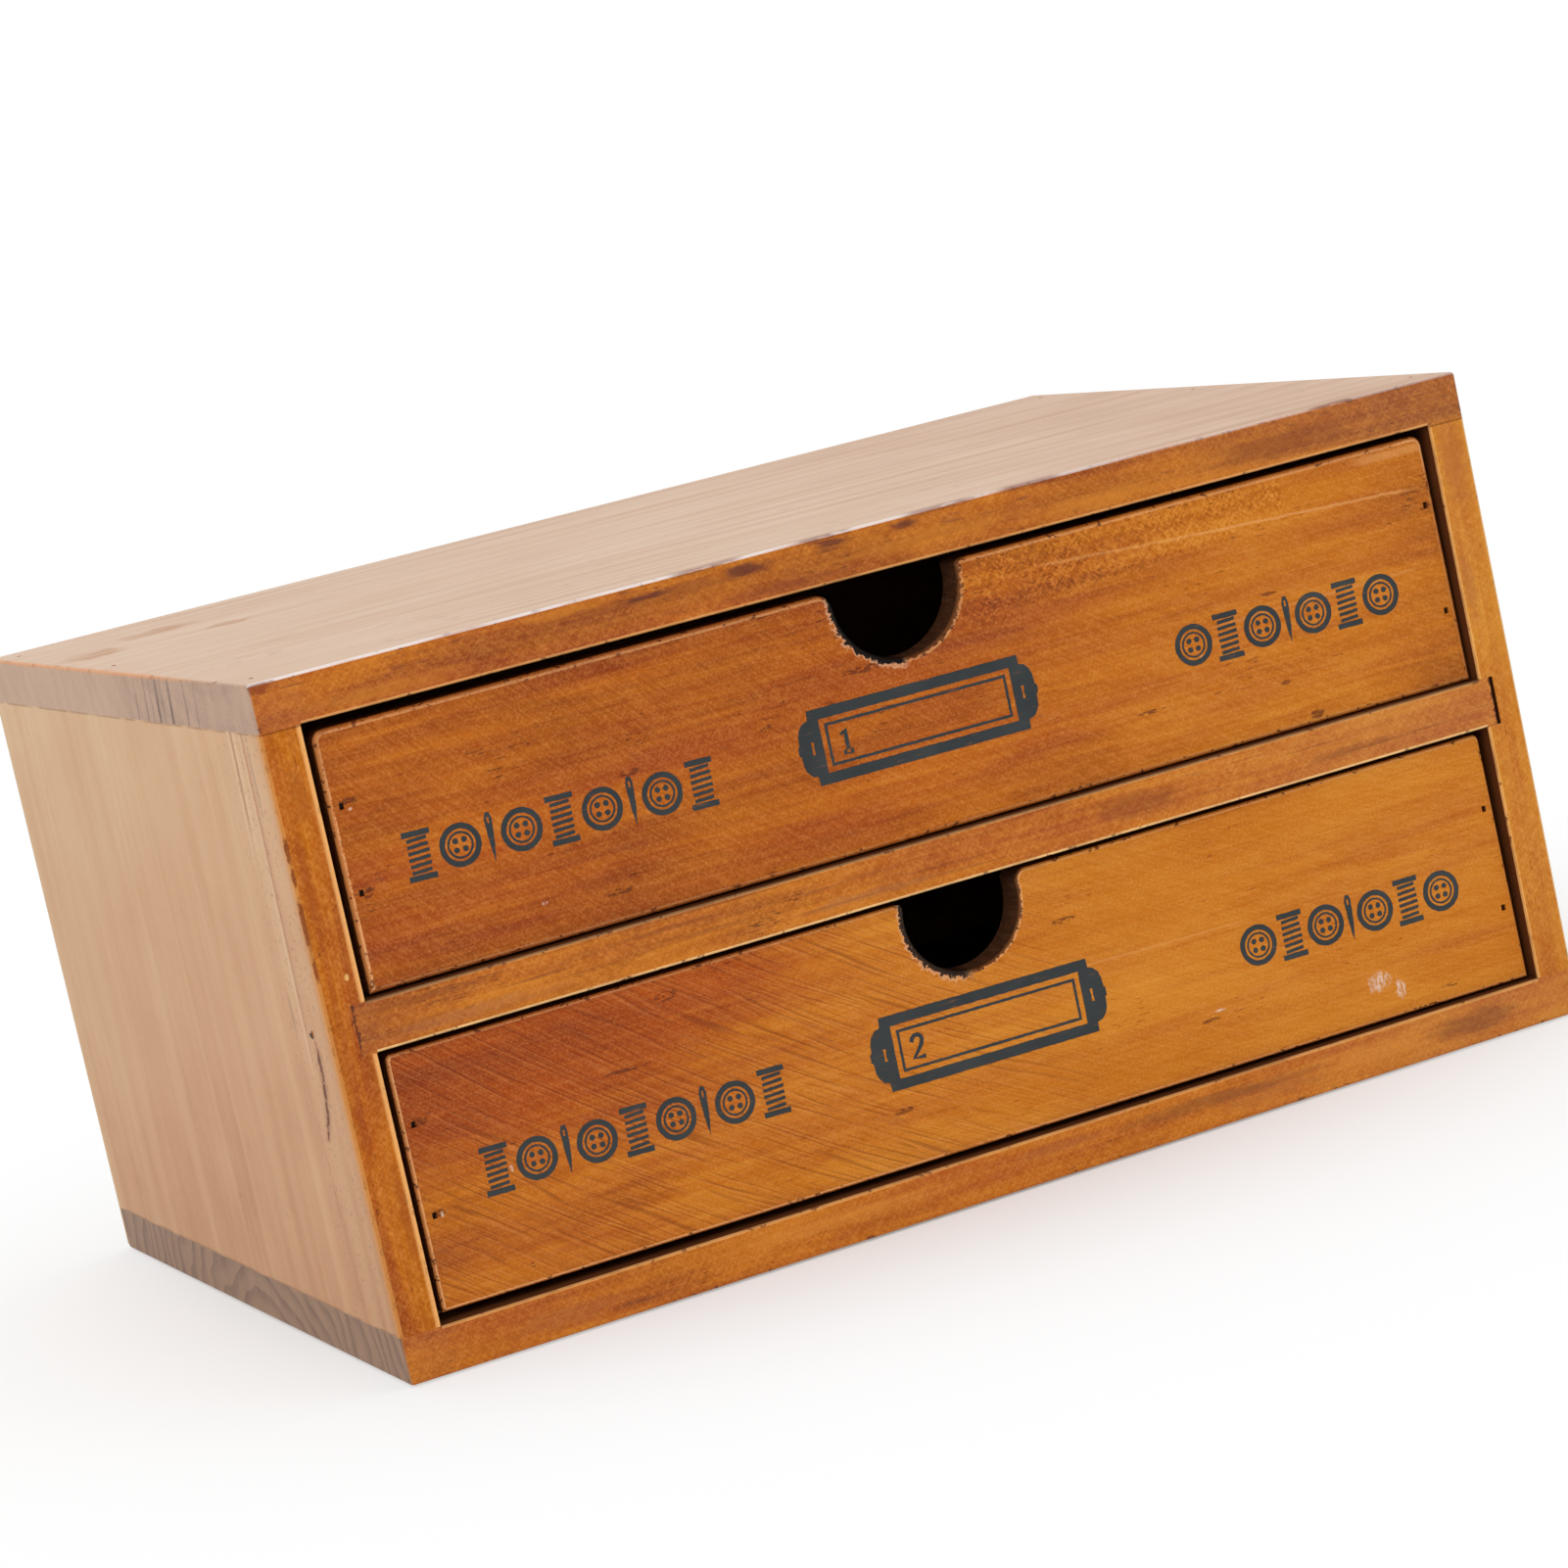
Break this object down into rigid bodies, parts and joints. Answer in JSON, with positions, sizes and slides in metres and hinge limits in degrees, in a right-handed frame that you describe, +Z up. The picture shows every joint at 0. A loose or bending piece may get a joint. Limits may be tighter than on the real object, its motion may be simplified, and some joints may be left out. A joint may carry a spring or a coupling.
{
  "type": "thread drawer box",
  "caption": "Small stained wooden chest of drawers for embroidery thread and sewing notions, with bare sliding drawers that open by round finger cut-outs.",
  "frame": {"origin": "middle of the underside of the case", "axes": "+X to the right of someone facing the drawers, -Y out of the front towards them, +Z up"},
  "size_m": [0.25, 0.187, 0.129],
  "materials": {
    "stained_pine": "stained and lacquered, worn at the arrises",
    "drawer_pine": "thin stain, satin",
    "bare_panel": "bare plywood",
    "steel_brads": "dull bright steel",
    "printed_ink": "dark slate ink printed on the wood; no node of the solids uses it"
  },
  "bodies": {
    "case": {"top_board": "stained_pine", "bottom_board": "stained_pine", "left_side_board": "stained_pine", "right_side_board": "stained_pine", "divider_shelf": "stained_pine", "back_panel": "bare_panel", "top_board_brads": "steel_brads", "bottom_board_brads": "steel_brads", "divider_brads": "steel_brads", "back_panel_brads": "steel_brads"},
    "upper_drawer": {"upper_front": "stained_pine", "upper_left_side": "drawer_pine", "upper_right_side": "drawer_pine", "upper_back": "drawer_pine", "upper_bottom": "bare_panel", "upper_front_brads": "steel_brads", "upper_back_brads": "steel_brads", "upper_bottom_brads": "steel_brads"},
    "lower_drawer": {"lower_front": "stained_pine", "lower_left_side": "drawer_pine", "lower_right_side": "drawer_pine", "lower_back": "drawer_pine", "lower_bottom": "bare_panel", "lower_front_brads": "steel_brads", "lower_back_brads": "steel_brads", "lower_bottom_brads": "steel_brads"}
  },
  "joints": [
    {"name": "upper_drawer_slide", "type": "slide", "parent": "case", "child": "upper_drawer", "axis": [0, -1, 0], "range_m": [0, 0.15]},
    {"name": "lower_drawer_slide", "type": "slide", "parent": "case", "child": "lower_drawer", "axis": [0, -1, 0], "range_m": [0, 0.15]}
  ]
}
